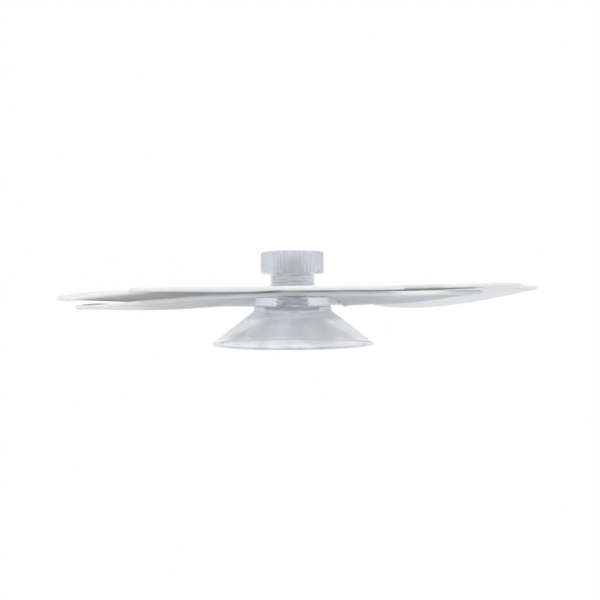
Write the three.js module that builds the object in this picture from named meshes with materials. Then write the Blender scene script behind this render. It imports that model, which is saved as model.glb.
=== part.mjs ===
// A flower-shaped insect trap that stands, or sticks, on a clear suction cup.
// Two thin petal sheets are threaded over a stud that is moulded into the cup's head,
// and a knurled thumb nut with a smooth sleeve holds them down.
// Millimetres, +Z up along the stud. The origin is the middle of the cup's rim plane.
// The part is seen from -Y, so an angle of -90 degrees points at the viewer.

import * as THREE from 'three';

// ---- driving dimensions ------------------------------------------------------------

const cup = {
  rimRadius: 20, // the lip, free of load
  lipHeight: 0.5, // straight edge of the lip
  lipWidth: 1.6, // flat ring that meets the glass
  headHeight: 3.6, // cylinder above the skirt
  headRadius: 9.4, // at its top
  headDraft: 0.2, // how much wider the head's foot is
  headRound: 0.45, // rounded top edge
  skirtHeight: 8.3, // rim plane to the foot of the head
  stepHeight: 0.4, // small ledge round the foot of the head
  stepWidth: 0.15,
  ceiling: 1.4, // wall between the hollow and the pocket of the stud's foot
  domeRadius: 7, // flat ceiling of the hollow
  nubRadius: 0.5, // moulding nub on the ceiling
  nubLength: 1.9,
};

const stud = {
  threadRadius: 3, // crest of the thread
  threadDepth: 0.4,
  pitch: 0.8,
  threadLength: 8.4, // above the collar
  collarLedge: 0.65, // the sheets stand on it; wider than the thread by this much
  collarHeight: 0.7, // above the cup's head
  footRadius: 7, // disc buried in the cup's head
  footHeight: 0.9,
  footDepth: 3.7, // underside of the foot below the top of the head
};

const sheet = {
  thickness: 0.45, // web and hub
  rimThickness: 1, // beaded edge
  rimWidth: 1.6,
  gap: 0.3, // between the two sheets
};

// One petal each, anticlockwise from +X: its direction, how far it may spread to each
// side, its reach, how far its tip drops, how far its clockwise and anticlockwise edges
// dip, and how deep its spoon is.
const upperPetals = {
  valleyRadius: 33,
  roundness: 2.6,
  petals: [
    { angle: 1, spread: 30, reach: 61.2, drop: -0.1, dip: [-0.5, 0], spoon: 4.9 },
    { angle: 46, spread: 30, reach: 59, drop: 0.3, dip: [0, 0], spoon: 1.3 },
    { angle: 91, spread: 30, reach: 57.5, drop: 0.4, dip: [0, 0], spoon: 1.3 },
    { angle: 134, spread: 30, reach: 59, drop: 0.2, dip: [0, 0], spoon: 1.3 },
    { angle: 172, spread: 30, reach: 60.2, drop: 1.1, dip: [-1.6, 2.8], spoon: 2.8 },
    { angle: 239, spread: 28, reach: 50, drop: 0.1, dip: [0, 0], spoon: 0.5 },
    { angle: 281, spread: 30, reach: 58, drop: 0.2, dip: [0, 0], spoon: 0.2 },
    { angle: 322, spread: 30, reach: 58, drop: -0.4, dip: [0, 0], spoon: 0.6 },
  ],
};

const lowerPetals = {
  valleyRadius: 13,
  roundness: 2.6,
  petals: [
    { angle: 98, spread: 64, reach: 55.5, drop: 2.9, dip: [3, 4], spoon: 3.2 },
    { angle: 203, spread: 46, reach: 52.5, drop: 3, dip: [0, -0.8], spoon: 3 },
    { angle: 317, spread: 29, reach: 51, drop: 0.1, dip: [0, 0], spoon: 2.8 },
  ],
};

// Exponents that shape every petal.
const form = {
  outline: 0.6, // lower is squarer at the tip
  meeting: 8, // higher keeps a petal's own height nearer to the valley
  droop: 1.8, // how the drop grows with the distance from the hub
  spoonSide: 1.5, // higher narrows the spoon
  spoonEntry: 0.7, // below 1 brings its deepest point nearer to the hub
  spoonFloor: 0.85, // lower flattens its floor
};

// Where the rings of a sheet lie, from 0 at the edge of the hub to 1 at the rim.
const rings = { web: 0.95, beadStart: 0.96, bead: 0.98 };

const nut = {
  headRadius: 7.8,
  headHeight: 5.3,
  headRound: 0.5,
  ribs: 48,
  ribDepth: 0.22,
  sleeveRadius: 5.45,
  sleeveLength: 3.7,
  crown: 1.4, // closed top over the bore
};

const fit = {
  thread: 0.3, // round the stud, in the nut and in the sheets
  seat: 0.1, // between faces that rest on each other
  mould: 0.3, // round the stud's foot inside the cup
  overhang: 1.4, // flat hub of the sheets past the cup's head
};

const facets = { round: 48, stud: 24, petalSteps: 8, lobeSteps: 20, webSteps: 8 };

// ---- heights that follow from them --------------------------------------------------

const headTop = cup.skirtHeight + cup.headHeight;
const collarTop = headTop + stud.collarHeight;
const lowerSheetBottom = collarTop + fit.seat;
const lowerSheetTop = lowerSheetBottom + sheet.thickness;
const upperSheetBottom = lowerSheetTop + sheet.gap;
const upperSheetTop = upperSheetBottom + sheet.thickness;
const sleeveBottom = upperSheetTop + fit.seat;
const sleeveTop = sleeveBottom + nut.sleeveLength;
const nutTop = sleeveTop + nut.headHeight;
const holeRadius = stud.threadRadius + fit.thread;
const footBottom = headTop - stud.footDepth;
const domeHeight = footBottom - fit.mould - cup.ceiling;
const collarRadius = stud.threadRadius + stud.collarLedge;
const hubRadius = cup.headRadius + cup.headDraft + fit.overhang;

// ---- materials ----------------------------------------------------------------------

const clearVinyl = new THREE.MeshStandardMaterial({
  color: 0xc8d2dc, roughness: 0.12, metalness: 0, transparent: true, opacity: 0.55,
});
const clearPlastic = new THREE.MeshStandardMaterial({
  color: 0xb9c0c8, roughness: 0.15, metalness: 0, transparent: true, opacity: 0.7,
});
const frostedPlastic = new THREE.MeshStandardMaterial({
  color: 0xcdd2d8, roughness: 0.35, metalness: 0, transparent: true, opacity: 0.8,
});
const petalPlastic = new THREE.MeshStandardMaterial({
  color: 0xdedfdb, roughness: 0.4, metalness: 0, side: THREE.DoubleSide,
});

// ---- helpers ------------------------------------------------------------------------

// Turns a closed [radius, height] outline, given anticlockwise, round the Z axis.
function turned(outline, segments) {
  const points = outline.map(([radius, height]) => new THREE.Vector2(radius, height));
  const geometry = new THREE.LatheGeometry(points, segments);
  geometry.rotateX(Math.PI / 2);
  return geometry;
}

// Quarter-round corner of an outline, from angle start to angle start + 90 degrees.
function corner(centreRadius, centreHeight, round, start, steps = 3) {
  const points = [];
  for (let i = 0; i <= steps; i += 1) {
    const angle = THREE.MathUtils.degToRad(start + (90 * i) / steps);
    points.push([centreRadius + round * Math.cos(angle), centreHeight + round * Math.sin(angle)]);
  }
  return points;
}

function piece(name, geometry, material) {
  const mesh = new THREE.Mesh(geometry, material);
  mesh.name = name;
  return mesh;
}

// ---- suction cup --------------------------------------------------------------------

// The skirt and its head are one soft moulding, hollow below, with a pocket round the
// stud's foot and a hole up to the top of the head.
function suctionCup() {
  const stepRadius = cup.headRadius + cup.headDraft;
  const shankRadius = collarRadius + fit.mould;
  const pocketRadius = stud.footRadius + fit.mould;
  const pocketTop = footBottom + stud.footHeight + fit.mould;
  const pocketBottom = footBottom - fit.mould;
  const outline = [
    [cup.rimRadius - cup.lipWidth, 0],
    [cup.rimRadius, 0],
    [cup.rimRadius, cup.lipHeight],
    [stepRadius + cup.stepWidth, cup.skirtHeight],
    [stepRadius + cup.stepWidth, cup.skirtHeight + cup.stepHeight],
    [stepRadius, cup.skirtHeight + cup.stepHeight],
    ...corner(cup.headRadius - cup.headRound, headTop - cup.headRound, cup.headRound, 0),
    [shankRadius, headTop],
    [shankRadius, pocketTop],
    [pocketRadius, pocketTop],
    [pocketRadius, pocketBottom],
    [0, pocketBottom],
    [0, domeHeight - cup.nubLength],
    [cup.nubRadius, domeHeight - cup.nubLength],
    [cup.nubRadius, domeHeight],
    [cup.domeRadius, domeHeight],
    [cup.rimRadius - cup.lipWidth, 0],
  ];
  return piece('suction_cup', turned(outline, facets.round), clearVinyl);
}

// ---- threaded stud ------------------------------------------------------------------

// The foot, shank and collar are plain; above the collar every vertex of the turned
// bar moves in or out with its place on the helix, which cuts the thread.
function threadedStud() {
  const rowsPerTurn = 4;
  const rows = Math.round((stud.threadLength / stud.pitch) * rowsPerTurn);
  const rootRadius = stud.threadRadius - stud.threadDepth;
  const threadTop = collarTop + stud.threadLength;
  const outline = [
    [0, footBottom],
    [stud.footRadius, footBottom],
    [stud.footRadius, footBottom + stud.footHeight],
    [collarRadius, footBottom + stud.footHeight],
    [collarRadius, collarTop],
  ];
  for (let row = 0; row <= rows; row += 1) {
    outline.push([rootRadius, collarTop + (stud.threadLength * row) / rows]);
  }
  outline.push([0, threadTop]);

  const geometry = turned(outline, facets.stud);
  const position = geometry.attributes.position;
  for (let i = 0; i < position.count; i += 1) {
    const x = position.getX(i);
    const y = position.getY(i);
    const z = position.getZ(i);
    const inThread = z > collarTop + 0.01 && z < threadTop - 0.01 && Math.hypot(x, y) > 0.1;
    if (inThread) {
      const phase = (z - collarTop) / stud.pitch - Math.atan2(y, x) / (2 * Math.PI);
      const crest = 0.5 + 0.5 * Math.cos(2 * Math.PI * phase);
      const scale = (rootRadius + stud.threadDepth * crest) / rootRadius;
      position.setXY(i, x * scale, y * scale);
    }
  }
  return piece('threaded_stud', geometry, clearPlastic);
}

// ---- petal sheets -------------------------------------------------------------------

// What a flower does in one direction, in degrees. A petal owns the directions up to
// halfway to its neighbours; side runs from 0 along its middle to 1 in the valley.
function flowerAt(flower, angle) {
  const turn = (from) => THREE.MathUtils.euclideanModulo(angle - from + 180, 360) - 180;
  const away = (petal) => Math.abs(turn(petal.angle));
  const [petal, ...others] = [...flower.petals].sort((a, b) => away(a) - away(b));
  const neighbour = others.find((other) => turn(other.angle) * turn(petal.angle) <= 0);
  const own = away(petal);
  const halfGap = (own + away(neighbour)) / 2;
  const halfWidth = Math.min(petal.spread, halfGap);
  const side = Math.min(1, own / halfWidth);
  const fullness = (1 - side ** flower.roundness) ** form.outline;
  const blend = 0.5 * Math.sin((Math.PI * own) / (2 * halfGap)) ** form.meeting;
  const edge = petal.dip[turn(petal.angle) > 0 ? 1 : 0] * Math.sin((Math.PI * side) / 2) ** 2;
  return {
    length: petal.reach,
    reach: flower.valleyRadius + (petal.reach - flower.valleyRadius) * fullness,
    drop: petal.drop * (1 - blend) + neighbour.drop * blend + edge * (1 - 2 * blend),
    spoon: petal.spoon * Math.max(0, Math.cos((Math.PI * side) / 2)) ** form.spoonSide,
  };
}

// Every direction in which a flower's sheet gets a row of vertices: each petal is
// divided evenly, so that the tips and the valleys fall on a row.
function flowerAngles(flower, steps) {
  const angles = [];
  flower.petals.forEach((petal, i) => {
    const wraps = i + 1 === flower.petals.length;
    const next = wraps ? flower.petals[0].angle + 360 : flower.petals[i + 1].angle;
    for (let step = 0; step < steps; step += 1) {
      angles.push(petal.angle + ((next - petal.angle) * step) / steps);
    }
  });
  return angles;
}

// How far the middle of a sheet hangs below its hub. The bend grows with the distance
// from the hub; the spoon is flat at the hub and comes back up at the rim.
function hang(here, radius) {
  const out = Math.max(0, (radius - hubRadius) / (here.length - hubRadius));
  const into = THREE.MathUtils.clamp((radius - hubRadius) / (here.reach - hubRadius), 0, 1);
  const spoon = here.spoon * Math.sin(Math.PI * into ** form.spoonEntry) ** form.spoonFloor;
  return here.drop * out ** form.droop + spoon;
}

function halfThickness(along) {
  return (along > rings.beadStart ? sheet.rimThickness : sheet.thickness) / 2;
}

// Underside of the upper sheet, or nothing outside its outline and bead.
function upperUnderside(angle, radius) {
  const upper = flowerAt(upperPetals, angle);
  if (radius > upper.reach + sheet.rimWidth) {
    return Infinity;
  }
  const nearRim = radius > upper.reach - 2 * sheet.rimWidth;
  const half = (nearRim ? sheet.rimThickness : sheet.thickness) / 2;
  return upperSheetBottom + sheet.thickness / 2 - hang(upper, Math.min(radius, upper.reach)) - half;
}

// How far round (degrees) and along (millimetres) a facet of the upper sheet may reach.
const clearanceTurns = [-4, -2, 0, 2, 4];
const clearanceSteps = [-3, 0, 3];

// The lower sheet hangs as it likes, but it is pressed down wherever the upper sheet
// comes lower within a facet's width, so that the two stay apart.
function lowerMiddle(angle, radius, along) {
  const middle = lowerSheetBottom + sheet.thickness / 2;
  let height = middle - hang(flowerAt(lowerPetals, angle), radius);
  if (radius > hubRadius) {
    for (const turn of clearanceTurns) {
      for (const step of clearanceSteps) {
        const ceiling = upperUnderside(angle + turn, radius + step) - sheet.gap;
        height = Math.min(height, ceiling - halfThickness(along));
      }
    }
  }
  return height;
}

function upperMiddle(angle, radius) {
  return upperSheetBottom + sheet.thickness / 2 - hang(flowerAt(upperPetals, angle), radius);
}

// A thin closed ring, turned and then pulled out to the flower's outline and down to
// its hanging heights. The hub is flat; along runs from 0 at its edge to 1 at the rim.
function petalSheet(name, flower, steps, middleOf) {
  const underside = [{ hole: true, along: 0 }];
  for (let i = 0; i < facets.webSteps; i += 1) {
    underside.push({ along: (rings.web * i) / (facets.webSteps - 1) });
  }
  underside.push({ along: rings.bead });
  const loop = [
    ...underside.map((point) => ({ ...point, face: -1 })),
    { along: 1, face: -0.6 },
    { along: 1, face: 0.6 },
    ...underside.map((point) => ({ ...point, face: 1 })).reverse(),
    { ...underside[0], face: -1 },
  ];

  const angles = flowerAngles(flower, steps);
  const outline = loop.map(({ hole, along, face }) => [holeRadius + along + (hole ? 0 : 1), face]);
  const geometry = turned(outline, angles.length);
  const position = geometry.attributes.position;
  for (let turn = 0; turn <= angles.length; turn += 1) {
    const angle = angles[turn % angles.length];
    const ray = THREE.MathUtils.degToRad(angle);
    const reach = flowerAt(flower, angle).reach;
    loop.forEach(({ hole, along, face }, i) => {
      const radius = hole ? holeRadius : hubRadius + (reach - hubRadius) * along;
      const height = middleOf(angle, radius, along) + face * halfThickness(along);
      position.setXYZ(turn * loop.length + i, radius * Math.cos(ray), radius * Math.sin(ray), height);
    });
  }
  return piece(name, geometry, petalPlastic);
}

// ---- thumb nut ----------------------------------------------------------------------

// The sleeve bears on the upper sheet. Every other step round the head is cut in by the
// depth of a rib, which leaves the knurling.
function thumbNut() {
  const boreTop = nutTop - nut.crown;
  const outline = [
    [holeRadius, sleeveBottom],
    [nut.sleeveRadius, sleeveBottom],
    [nut.sleeveRadius, sleeveTop],
    [nut.headRadius, sleeveTop],
    ...corner(nut.headRadius - nut.headRound, nutTop - nut.headRound, nut.headRound, 0),
    [0, nutTop],
    [0, boreTop],
    [holeRadius, boreTop],
    [holeRadius, sleeveBottom],
  ];
  const segments = nut.ribs * 2;
  const geometry = turned(outline, segments);
  const position = geometry.attributes.position;
  for (let turn = 1; turn < segments; turn += 2) {
    for (let i = 0; i < outline.length; i += 1) {
      const vertex = turn * outline.length + i;
      const radius = Math.hypot(position.getX(vertex), position.getY(vertex));
      if (radius > nut.headRadius - nut.headRound / 2) {
        const scale = (radius - nut.ribDepth) / radius;
        position.setXY(vertex, position.getX(vertex) * scale, position.getY(vertex) * scale);
      }
    }
  }
  return piece('thumb_nut', geometry, frostedPlastic);
}

// ---- assembly -----------------------------------------------------------------------

const trap = new THREE.Group();
trap.add(suctionCup());
trap.add(threadedStud());
trap.add(petalSheet('lower_petal_sheet', lowerPetals, facets.lobeSteps, lowerMiddle));
trap.add(petalSheet('upper_petal_sheet', upperPetals, facets.petalSteps, upperMiddle));
trap.add(thumbNut());

export default trap;
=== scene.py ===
"""A flower-shaped insect trap on a clear suction cup: the looks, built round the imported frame."""

import math

import bpy
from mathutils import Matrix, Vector


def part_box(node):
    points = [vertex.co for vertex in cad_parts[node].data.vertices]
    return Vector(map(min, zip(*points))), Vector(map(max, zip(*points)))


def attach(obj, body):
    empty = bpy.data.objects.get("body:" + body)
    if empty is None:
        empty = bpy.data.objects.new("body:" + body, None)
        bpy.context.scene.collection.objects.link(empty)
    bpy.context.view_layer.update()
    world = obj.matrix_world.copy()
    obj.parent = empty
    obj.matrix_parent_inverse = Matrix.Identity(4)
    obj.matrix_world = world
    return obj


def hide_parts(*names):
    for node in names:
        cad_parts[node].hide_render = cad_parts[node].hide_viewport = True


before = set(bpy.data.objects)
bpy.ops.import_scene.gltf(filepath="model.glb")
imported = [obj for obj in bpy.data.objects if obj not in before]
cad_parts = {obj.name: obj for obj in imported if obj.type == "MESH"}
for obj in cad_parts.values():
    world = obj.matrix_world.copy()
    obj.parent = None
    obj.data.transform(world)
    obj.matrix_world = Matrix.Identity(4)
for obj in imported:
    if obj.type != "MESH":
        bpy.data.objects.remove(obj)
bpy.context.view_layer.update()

MM = 0.001
SAME_POINT = 0.001 * MM

# ---- sizes, from the frame ------------------------------------------------------------

cup_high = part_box("suction_cup")[1]
stud_low, stud_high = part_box("threaded_stud")
nut_low, nut_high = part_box("thumb_nut")

RIM_RADIUS = cup_high.x
HEAD_TOP = cup_high.z
HEAD_RADIUS = 9.4 * MM
HEAD_FOOT_RADIUS = 9.6 * MM
HEAD_ROUND = 0.45 * MM
SKIRT_HEIGHT = 8.3 * MM
STEP = 0.4 * MM
STEP_RADIUS = HEAD_FOOT_RADIUS + 0.15 * MM
STEP_HOLLOW = 0.4 * MM
STEP_ROUND = 0.12 * MM
STEP_CORNER = 0.05 * MM
LIP = 0.5 * MM
LIP_WIDTH = 1.6 * MM
LIP_ROUND = 0.2 * MM
LIP_INNER_ROUND = 0.3 * MM
CEILING = 6.5 * MM
CEILING_RADIUS = 7 * MM
CEILING_ROUND = 1.6 * MM
NUB_RADIUS = 0.7 * MM
NUB_LENGTH = 1.9 * MM
NUB_ROUND = 0.3 * MM

FOOT_RADIUS = stud_high.x
FOOT_BOTTOM = stud_low.z
FOOT_HEIGHT = 0.9 * MM
FOOT_ROUND = 0.15 * MM
COLLAR_RADIUS = 3.65 * MM
COLLAR_TOP = HEAD_TOP + 0.7 * MM
COLLAR_SUNK = 0.3 * MM
COLLAR_ROUND = 0.08 * MM
THREAD_TOP = stud_high.z
THREAD_RADIUS = 3 * MM
THREAD_DEPTH = 0.4 * MM
PITCH = 0.8 * MM
MOULD_GAP = 0.04 * MM

NUT_RADIUS = nut_high.x
NUT_BOTTOM = nut_low.z
NUT_TOP = nut_high.z
NUT_UNDER = NUT_TOP - 5.3 * MM
NUT_ROUND = 0.5 * MM
NUT_UNDER_ROUND = 0.2 * MM
SLEEVE_RADIUS = 5.45 * MM
SLEEVE_ROUND = 0.15 * MM
BORE_TOP = NUT_TOP - 1.4 * MM
BORE_RADIUS = 3.3 * MM
RIBS = 48
RIB_DEPTH = 0.22 * MM
RIB_COLUMNS = 4

ROUND_STEPS = 128
DISC_STEPS = 96
THREAD_STEPS = 48
THREAD_ROWS = 8
SHEET_LEVELS = 2

# ---- modelling helpers ----------------------------------------------------------------


def rounded(corners, steps=5):
    """The (radius, height, fillet) corners of an outline as points, each fillet turned into an arc."""
    points = []
    for i, (x, z, fillet) in enumerate(corners):
        corner = Vector((x, z))
        if fillet == 0:
            points.append(corner)
            continue
        back = (Vector(corners[i - 1][:2]) - corner).normalized()
        ahead = (Vector(corners[i + 1][:2]) - corner).normalized()
        half = back.angle(ahead) / 2
        inwards = (back + ahead).normalized() / math.sin(half)
        first = back / math.tan(half) - inwards
        last = ahead / math.tan(half) - inwards
        spokes = [inwards + first.slerp(last, step / steps) for step in range(steps + 1)]
        points += [corner + spoke * fillet for spoke in spokes]
    return points


def chain(name, points):
    """A run of edges in the XZ plane, drawn by extruding one vertex from point to point."""
    bpy.ops.object.select_all(action="DESELECT")
    bpy.ops.mesh.primitive_plane_add(size=MM, location=(points[0][0], 0, points[0][1]))
    piece = bpy.context.object
    piece.name = name
    bpy.ops.object.transform_apply(location=True)
    bpy.ops.object.mode_set(mode="EDIT")
    bpy.ops.mesh.merge(type="CENTER")
    for here, there in zip(points, points[1:]):
        move = (there[0] - here[0], 0, there[1] - here[1])
        bpy.ops.mesh.extrude_region_move(TRANSFORM_OT_translate={"value": move})
    return piece


def close_up():
    """In edit mode: merges doubles, turns the normals outwards and goes back to object mode."""
    bpy.ops.mesh.select_all(action="SELECT")
    bpy.ops.mesh.remove_doubles(threshold=SAME_POINT)
    bpy.ops.mesh.normals_make_consistent(inside=False)
    bpy.ops.object.mode_set(mode="OBJECT")


def lathe(name, points, steps=ROUND_STEPS):
    """Spins an outline, which starts and ends on the Z axis, into a closed body."""
    piece = chain(name, points)
    bpy.ops.mesh.select_all(action="SELECT")
    bpy.ops.mesh.spin(steps=steps, angle=2 * math.pi, center=(0, 0, 0), axis=(0, 0, 1))
    close_up()
    return piece


def thread(name, root, low, high):
    """A closed threaded bar: one pitch of the outline, screwed up the Z axis and cut off flat."""
    start = low - PITCH
    wave = []
    for row in range(THREAD_ROWS + 1):
        along = row / THREAD_ROWS
        crest = 0.5 - 0.5 * math.cos(2 * math.pi * along)
        wave.append((root + THREAD_DEPTH * crest, start + PITCH * along))
    piece = chain(name, wave)
    bpy.ops.object.mode_set(mode="OBJECT")
    screw = piece.modifiers.new("screw", "SCREW")
    screw.screw_offset = PITCH
    screw.iterations = math.ceil((high - low) / PITCH) + 2
    screw.steps = THREAD_STEPS
    screw.render_steps = THREAD_STEPS
    bpy.ops.object.modifier_apply(modifier=screw.name)
    bpy.ops.object.mode_set(mode="EDIT")
    for height, side in ((low, "clear_inner"), (high, "clear_outer")):
        bpy.ops.mesh.select_all(action="SELECT")
        bpy.ops.mesh.remove_doubles(threshold=SAME_POINT)
        bpy.ops.mesh.select_all(action="SELECT")
        plane = {"plane_co": (0, 0, height), "plane_no": (0, 0, 1), "threshold": 0.1 * SAME_POINT}
        bpy.ops.mesh.bisect(use_fill=True, **plane, **{side: True})
    close_up()
    return piece


def combine(piece, tool, operation):
    """Joins tool to piece or cuts it out, and removes tool."""
    bpy.context.view_layer.objects.active = piece
    cut = piece.modifiers.new("cut", "BOOLEAN")
    cut.operation = operation
    cut.solver = "EXACT"
    cut.object = tool
    bpy.ops.object.modifier_apply(modifier=cut.name)
    bpy.data.objects.remove(tool)


def smooth(piece):
    """Shades the rounded faces smooth and leaves the sharp edges sharp."""
    bpy.ops.object.select_all(action="DESELECT")
    piece.select_set(True)
    bpy.context.view_layer.objects.active = piece
    bpy.ops.object.shade_smooth_by_angle(angle=math.radians(30))


def finished(piece, finish, body, node):
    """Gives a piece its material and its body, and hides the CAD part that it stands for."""
    piece.data.materials.clear()
    piece.data.materials.append(finish.material)
    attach(piece, body)
    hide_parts(node)


# ---- materials ------------------------------------------------------------------------


class Signal:
    """An output socket of a finish. Arithmetic on it adds Math nodes."""

    def __init__(self, finish, socket):
        self.finish = finish
        self.socket = socket

    def math(self, operation, first, second):
        return self.finish.node("ShaderNodeMath", {"operation": operation}, {0: first, 1: second})

    def __add__(self, other):
        return self.math("ADD", self, other)

    def __mul__(self, other):
        return self.math("MULTIPLY", self, other)

    __radd__ = __add__
    __rmul__ = __mul__


class Finish:
    """A procedural material with one Principled shader, whose fixed values are set by name."""

    def __init__(self, name, **fixed):
        self.material = bpy.data.materials.new(name)
        self.material.use_nodes = True
        self.tree = self.material.node_tree
        self.shader = self.tree.nodes["Principled BSDF"]
        for socket, value in fixed.items():
            self.shader.inputs[socket.replace("_", " ")].default_value = value
        self.place = self.node("ShaderNodeTexCoord", output="Object")

    def node(self, kind, settings={}, inputs={}, output=0):
        made = self.tree.nodes.new(kind)
        for key, value in settings.items():
            if key == "stops":
                for i, (position, colour) in enumerate(value):
                    stops = made.color_ramp.elements
                    stop = stops[i] if i < len(stops) else stops.new(position)
                    stop.position = position
                    stop.color = (*colour, 1)
            else:
                setattr(made, key, value)
        for key, value in inputs.items():
            self.feed(made.inputs[key], value)
        return Signal(self, made.outputs[output])

    def feed(self, socket, value):
        if isinstance(value, Signal):
            self.tree.links.new(value.socket, socket)
        else:
            socket.default_value = value

    def set(self, socket, value):
        self.feed(self.shader.inputs[socket], value)

    def noise(self, per_metre, detail=2, roughness=0.5, stretch=(1, 1, 1)):
        place = self.node("ShaderNodeMapping", {}, {"Vector": self.place, "Scale": stretch})
        wanted = {"Vector": place, "Scale": per_metre, "Detail": detail, "Roughness": roughness}
        return self.node("ShaderNodeTexNoise", {}, wanted, "Fac")

    def along(self, axis):
        """The place along the X, Y or Z axis."""
        return self.node("ShaderNodeSeparateXYZ", {}, {0: self.place}, axis)

    def veins(self, out):
        """Fine folds that run outwards from the hub: a noise over the turn, long along the radius."""
        across = self.along("Y")
        turn = across.math("ARCTAN2", across, self.along("X"))
        lie = self.node("ShaderNodeCombineXYZ", {}, {"X": turn * 9, "Y": out * 25})
        return self.node("ShaderNodeTexNoise", {}, {"Vector": lie, "Scale": 1.0, "Detail": 3.0}, "Fac")

    def ramp(self, value, *stops):
        return self.node("ShaderNodeValToRGB", {"stops": stops}, {"Fac": value}, "Color")

    def span(self, value, low, high, to_low, to_high):
        wanted = {"Value": value, "From Min": low, "From Max": high, "To Min": to_low, "To Max": to_high}
        return self.node("ShaderNodeMapRange", {"interpolation_type": "SMOOTHSTEP"}, wanted, "Result")

    def blend(self, factor, first, second):
        wanted = {"Factor": factor, 6: first, 7: second}
        return self.node("ShaderNodeMix", {"data_type": "RGBA"}, wanted, 2)

    def bump(self, height, distance):
        wanted = {"Height": height, "Distance": distance, "Strength": 1}
        self.set("Normal", self.node("ShaderNodeBump", {}, wanted))


def soft_vinyl():
    """Clear soft PVC with flow marks: clearest in the head, a painted highlight band just above the lip,
    a painted shade band round the skirt under the cavity ceiling, and a dense edge.
    """
    finish = Finish("clear_vinyl", Transmission_Weight=0.9, IOR=1.4)
    flow = finish.noise(160, 3, 0.55, (1, 1, 0.5))
    smudge = finish.noise(420, 4, 0.6)
    height = finish.along("Z")
    clearer = finish.span(height, SKIRT_HEIGHT - STEP, SKIRT_HEIGHT + STEP, 0, 1)
    tint = finish.ramp(flow, (0.3, (0.8, 0.87, 0.99)), (0.7, (0.91, 0.955, 1)))
    finish.set("Base Color", finish.blend(clearer, tint, (0.98, 0.99, 1, 1)))
    finish.set("Roughness", finish.span(smudge, 0.35, 0.75, 0.02, 0.1))
    # Painted shade: the skirt is made more opaque in a band just under the cavity ceiling, so it reads
    # as a darker ring there.
    painted_shade_band = finish.span(height, CEILING - 0.5 * MM, CEILING, 0, 0.3)
    head = clearer * 0.3
    # Painted highlight: just above the lip the vinyl is made more see-through so a bright line runs
    # along it; the very bottom edge is made more opaque.
    lip = finish.span(height, LIP, 1.6 * MM, -0.16, 0) + finish.span(height, 0, LIP, 0.45, 0)
    finish.set("Alpha", finish.span(flow, 0.3, 0.7, 0.26, 0.48) + painted_shade_band + head + lip)
    finish.bump(flow + smudge * 0.2, 0.1 * MM)
    return finish


def clear_plastic():
    """Hard clear plastic of the stud, greyer than the vinyl."""
    finish = Finish("clear_plastic", Transmission_Weight=0.92, IOR=1.5)
    cloud = finish.noise(300, 3)
    finish.set("Base Color", finish.ramp(cloud, (0.3, (0.84, 0.87, 0.91)), (0.7, (0.93, 0.95, 0.97))))
    finish.set("Roughness", finish.span(cloud, 0.3, 0.7, 0.06, 0.18))
    finish.bump(cloud, 0.05 * MM)
    return finish


def frosted_plastic():
    """Translucent hard plastic of the nut: satin on the head, clearer on the sleeve."""
    finish = Finish("frosted_plastic", Transmission_Weight=0.82, IOR=1.44)
    drag = finish.noise(900, 3, 0.6, (1, 1, 0.1))
    cloud = finish.noise(240, 3)
    blur = 0.3 * MM
    head = finish.span(finish.along("Z"), NUT_UNDER - blur, NUT_UNDER + blur, 0, 0.38)
    finish.set("Base Color", finish.ramp(cloud, (0.3, (0.96, 0.97, 1)), (0.7, (0.99, 0.993, 1))))
    finish.set("Roughness", finish.span(cloud + drag * 0.4, 0.4, 1, 0.05, 0.14) + head)
    finish.bump(drag, 0.008 * MM)
    return finish


def petal_plastic(name, light, dark, painted_crease_shade):
    """Off-white thin sheet: mottled and finely grained, with painted shade that darkens and warms it
    towards the hub and along its folds.
    """
    finish = Finish(name, IOR=1.46, Specular_IOR_Level=0.4, Subsurface_Radius=(1, 0.96, 0.9))
    finish.set("Subsurface Weight", 0.9)
    finish.set("Subsurface Scale", 2.5 * MM)
    mottle = finish.noise(70, 4, 0.6)
    grain = finish.noise(3200, 2, 0.5)
    level = {0: finish.place, 1: (1, 1, 0)}
    flat = finish.node("ShaderNodeVectorMath", {"operation": "MULTIPLY"}, level)
    out = finish.node("ShaderNodeVectorMath", {"operation": "LENGTH"}, {0: flat}, "Value")
    # Painted shade: the colour darkens and warms towards the hub, where the petals overlap and shade
    # each other.
    hub = finish.span(out + mottle * 4 * MM, 10 * MM, 30 * MM, 1, 0)
    veins = finish.veins(out)
    plain = finish.ramp(mottle, (0.3, dark), (0.7, light))
    # Painted shade along the folds: their colour is pulled towards the crease shade colour. Their relief
    # comes from the bump below.
    painted_shade_amount = finish.span(veins, 0.45, 0.75, 0, 0.7) + hub * 0.5
    finish.set("Base Color", finish.blend(painted_shade_amount, plain, (*painted_crease_shade, 1)))
    finish.set("Roughness", finish.span(grain + mottle * 0.5, 0.4, 1, 0.36, 0.55))
    finish.bump(grain * 0.12 + veins + mottle * 0.3, 0.15 * MM)
    return finish


# ---- camera ---------------------------------------------------------------------------


def add_camera():
    """Level with the top of the cup's head, in front of the part, turned a hair about its view."""
    distance = 187.5 * MM
    eye_level = HEAD_TOP + 0.275 * MM
    tilt = math.radians(0.45)
    bpy.ops.object.camera_add(location=(0, -distance, eye_level))
    camera = bpy.context.object
    camera.rotation_euler = (math.radians(90), tilt, 0)
    camera.data.lens = 45
    camera.data.sensor_width = 36
    camera.data.shift_x = 0.0125
    camera.data.shift_y = -0.0075
    camera.data.clip_start = 10 * MM
    camera.data.clip_end = 20
    bpy.context.scene.camera = camera


# ---- suction cup ----------------------------------------------------------------------


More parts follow.
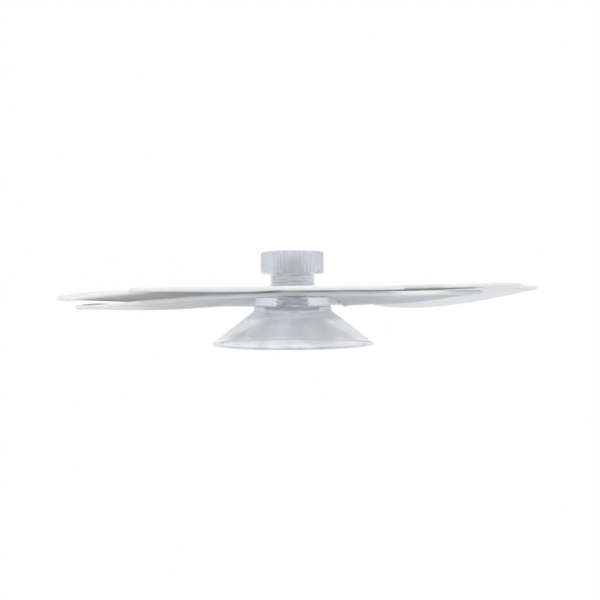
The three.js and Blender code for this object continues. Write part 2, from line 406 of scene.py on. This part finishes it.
def clear_cup():
    corners = [
        (0, CEILING - NUB_LENGTH, 0),
        (NUB_RADIUS, CEILING - NUB_LENGTH, NUB_ROUND),
        (NUB_RADIUS, CEILING, NUB_ROUND),
        (CEILING_RADIUS, CEILING, CEILING_ROUND),
        (RIM_RADIUS - LIP_WIDTH, 0, LIP_INNER_ROUND),
        (RIM_RADIUS, 0, LIP_ROUND),
        (RIM_RADIUS, LIP, LIP_ROUND),
        (STEP_RADIUS, SKIRT_HEIGHT, STEP_HOLLOW),
        (STEP_RADIUS, SKIRT_HEIGHT + STEP, STEP_ROUND),
        (HEAD_FOOT_RADIUS, SKIRT_HEIGHT + STEP, STEP_CORNER),
        (HEAD_RADIUS, HEAD_TOP, HEAD_ROUND),
        (0, HEAD_TOP, 0),
    ]
    piece = lathe("clear_cup", rounded(corners))
    combine(piece, stud_body("cavity", MOULD_GAP), "DIFFERENCE")
    smooth(piece)
    finished(piece, soft_vinyl(), "cup", "suction_cup")


# ---- stud -----------------------------------------------------------------------------


def disc(name, radius, low, high, fillet):
    """A round plate on the Z axis with rounded edges."""
    outline = [(0, low, 0), (radius, low, fillet), (radius, high, fillet), (0, high, 0)]
    return lathe(name, rounded(outline), DISC_STEPS)


def stud_body(name, swell=0):
    """The threaded bar with its foot and collar, larger all round by swell."""
    foot_top = FOOT_BOTTOM + FOOT_HEIGHT
    thread_root = THREAD_RADIUS - THREAD_DEPTH + swell
    bar = thread(name, thread_root, foot_top - FOOT_HEIGHT / 2, THREAD_TOP)
    foot = disc("foot", FOOT_RADIUS + swell, FOOT_BOTTOM - swell, foot_top + swell, FOOT_ROUND)
    collar_bottom = HEAD_TOP - COLLAR_SUNK - swell
    collar = disc("collar", COLLAR_RADIUS + swell, collar_bottom, COLLAR_TOP + swell, COLLAR_ROUND)
    combine(bar, foot, "UNION")
    combine(bar, collar, "UNION")
    return bar


def stud():
    piece = stud_body("stud")
    smooth(piece)
    finished(piece, clear_plastic(), "cup", "threaded_stud")


# ---- petal sheets ---------------------------------------------------------------------


def petal_sheet(name, node, body, finish):
    """A smooth copy of a sheet: its facets merged into quads and subdivided."""
    bpy.ops.object.select_all(action="DESELECT")
    piece = bpy.data.objects.new(name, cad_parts[node].data.copy())
    bpy.context.scene.collection.objects.link(piece)
    bpy.context.view_layer.objects.active = piece
    piece.select_set(True)
    bpy.ops.object.mode_set(mode="EDIT")
    bpy.ops.mesh.select_all(action="SELECT")
    bpy.ops.mesh.remove_doubles(threshold=SAME_POINT)
    any_angle = {"face_threshold": math.pi, "shape_threshold": math.pi}
    bpy.ops.mesh.tris_convert_to_quads(topology_influence=1, **any_angle)
    bpy.ops.object.mode_set(mode="OBJECT")
    fine = piece.modifiers.new("fine", "SUBSURF")
    fine.levels = SHEET_LEVELS
    fine.render_levels = SHEET_LEVELS
    bpy.ops.object.modifier_apply(modifier=fine.name)
    bpy.ops.object.shade_smooth()
    finished(piece, finish, body, node)


# ---- thumb nut ------------------------------------------------------------------------


def thumb_nut():
    """A head with grooves round its rim, a smooth sleeve under it and a blind threaded bore."""
    outline = [
        (0, NUT_BOTTOM, 0),
        (SLEEVE_RADIUS, NUT_BOTTOM, SLEEVE_ROUND),
        (SLEEVE_RADIUS, NUT_UNDER, SLEEVE_ROUND),
        (NUT_RADIUS, NUT_UNDER, NUT_UNDER_ROUND),
        (NUT_RADIUS, NUT_TOP, NUT_ROUND),
        (0, NUT_TOP, 0),
    ]
    steps = RIBS * RIB_COLUMNS
    rim_band = 0.3 * MM
    piece = lathe("thumb_nut_body", rounded(outline, 4), steps)
    for vertex in piece.data.vertices:
        x, y, z = vertex.co
        column = round(math.atan2(y, x) / (2 * math.pi) * steps)
        rim = math.hypot(x, y) > NUT_RADIUS - rim_band
        vertex.select = rim and column % RIB_COLUMNS == 0
    for face in piece.data.polygons:
        face.select = False
    for edge in piece.data.edges:
        edge.select = False
    bpy.ops.object.mode_set(mode="EDIT")
    bpy.context.tool_settings.mesh_select_mode = (True, False, False)
    shrink = 1 - RIB_DEPTH / NUT_RADIUS
    bpy.ops.transform.resize(value=(shrink, shrink, 1), center_override=(0, 0, 0))
    bpy.ops.object.mode_set(mode="OBJECT")
    bore = thread("bore", BORE_RADIUS, NUT_BOTTOM - PITCH, BORE_TOP)
    combine(piece, bore, "DIFFERENCE")
    smooth(piece)
    finished(piece, frosted_plastic(), "nut", "thumb_nut")


# ---- floor and light ------------------------------------------------------------------


def floor():
    """A wide pale floor that lights the part from below and is plain white to the camera."""
    bpy.ops.mesh.primitive_circle_add(vertices=96, radius=1.5, fill_type="NGON", location=(0, 0, 0))
    piece = bpy.context.object
    piece.name = "floor"
    finish = Finish("floor", Roughness=0.8, Specular_IOR_Level=0.1, Emission_Strength=0.68)
    finish.set("Emission Color", (0.9, 0.94, 1, 1))
    speck = finish.noise(40, 3)
    finish.set("Base Color", finish.ramp(speck, (0.3, (0.14, 0.14, 0.14)), (0.7, (0.16, 0.16, 0.16))))
    glow = finish.node("ShaderNodeEmission", {}, {"Strength": 1.0})
    seen = finish.node("ShaderNodeLightPath", output="Is Camera Ray")
    plastic = Signal(finish, finish.shader.outputs["BSDF"])
    mix = finish.node("ShaderNodeMixShader", {}, {"Fac": seen, 1: plastic, 2: glow})
    finish.feed(finish.tree.nodes["Material Output"].inputs["Surface"], mix)
    piece.data.materials.append(finish.material)


def soft_box(name, place, size, watts):
    """A square soft light that faces the top of the cup's head."""
    bpy.ops.object.light_add(type="AREA", location=place)
    light = bpy.context.object
    light.name = name
    light.data.size = size
    light.data.energy = watts
    aim = Vector((0, 0, HEAD_TOP)) - Vector(place)
    light.rotation_euler = aim.to_track_quat("-Z", "Y").to_euler()


def studio():
    """Pale all-round light, white to the camera, and three soft boxes."""
    world = bpy.data.worlds.new("studio")
    bpy.context.scene.world = world
    world.use_nodes = True
    nodes = world.node_tree.nodes
    links = world.node_tree.links
    sky = nodes["Background"]
    sky.inputs["Color"].default_value = (0.89, 0.93, 1, 1)
    sky.inputs["Strength"].default_value = 0.84
    white = nodes.new("ShaderNodeBackground")
    white.inputs["Color"].default_value = (1, 1, 1, 1)
    seen = nodes.new("ShaderNodeLightPath")
    mix = nodes.new("ShaderNodeMixShader")
    links.new(seen.outputs["Is Camera Ray"], mix.inputs["Fac"])
    links.new(sky.outputs["Background"], mix.inputs[1])
    links.new(white.outputs["Background"], mix.inputs[2])
    links.new(mix.outputs["Shader"], nodes["World Output"].inputs["Surface"])
    soft_box("key", (-0.25, -0.35, 0.45), 0.4, 0.9)
    soft_box("fill", (0.4, -0.3, 0.2), 0.4, 0.3)
    soft_box("rim", (0.1, 0.4, 0.35), 0.3, 0.25)
    bpy.context.scene.view_settings.view_transform = "Standard"


# ---- the whole trap -------------------------------------------------------------------

add_camera()
clear_cup()
stud()
# The lower sheet's colours are a little darker and warmer than the upper's: painted shade for the sheet
# that lies under the other. The last colour of each set is the painted shade of its creases and hub.
upper_light, upper_dark, upper_painted_shade = (0.79, 0.775, 0.755), (0.75, 0.735, 0.715), (0.75, 0.72, 0.67)
lower_light, lower_dark, lower_painted_shade = (0.785, 0.765, 0.735), (0.745, 0.725, 0.69), (0.73, 0.69, 0.61)
upper = petal_plastic("upper_petal_plastic", upper_light, upper_dark, upper_painted_shade)
lower = petal_plastic("lower_petal_plastic", lower_light, lower_dark, lower_painted_shade)
petal_sheet("upper_flower_sheet", "upper_petal_sheet", "upper_flower", upper)
petal_sheet("lower_flower_sheet", "lower_petal_sheet", "lower_flower", lower)
thumb_nut()
floor()
studio()
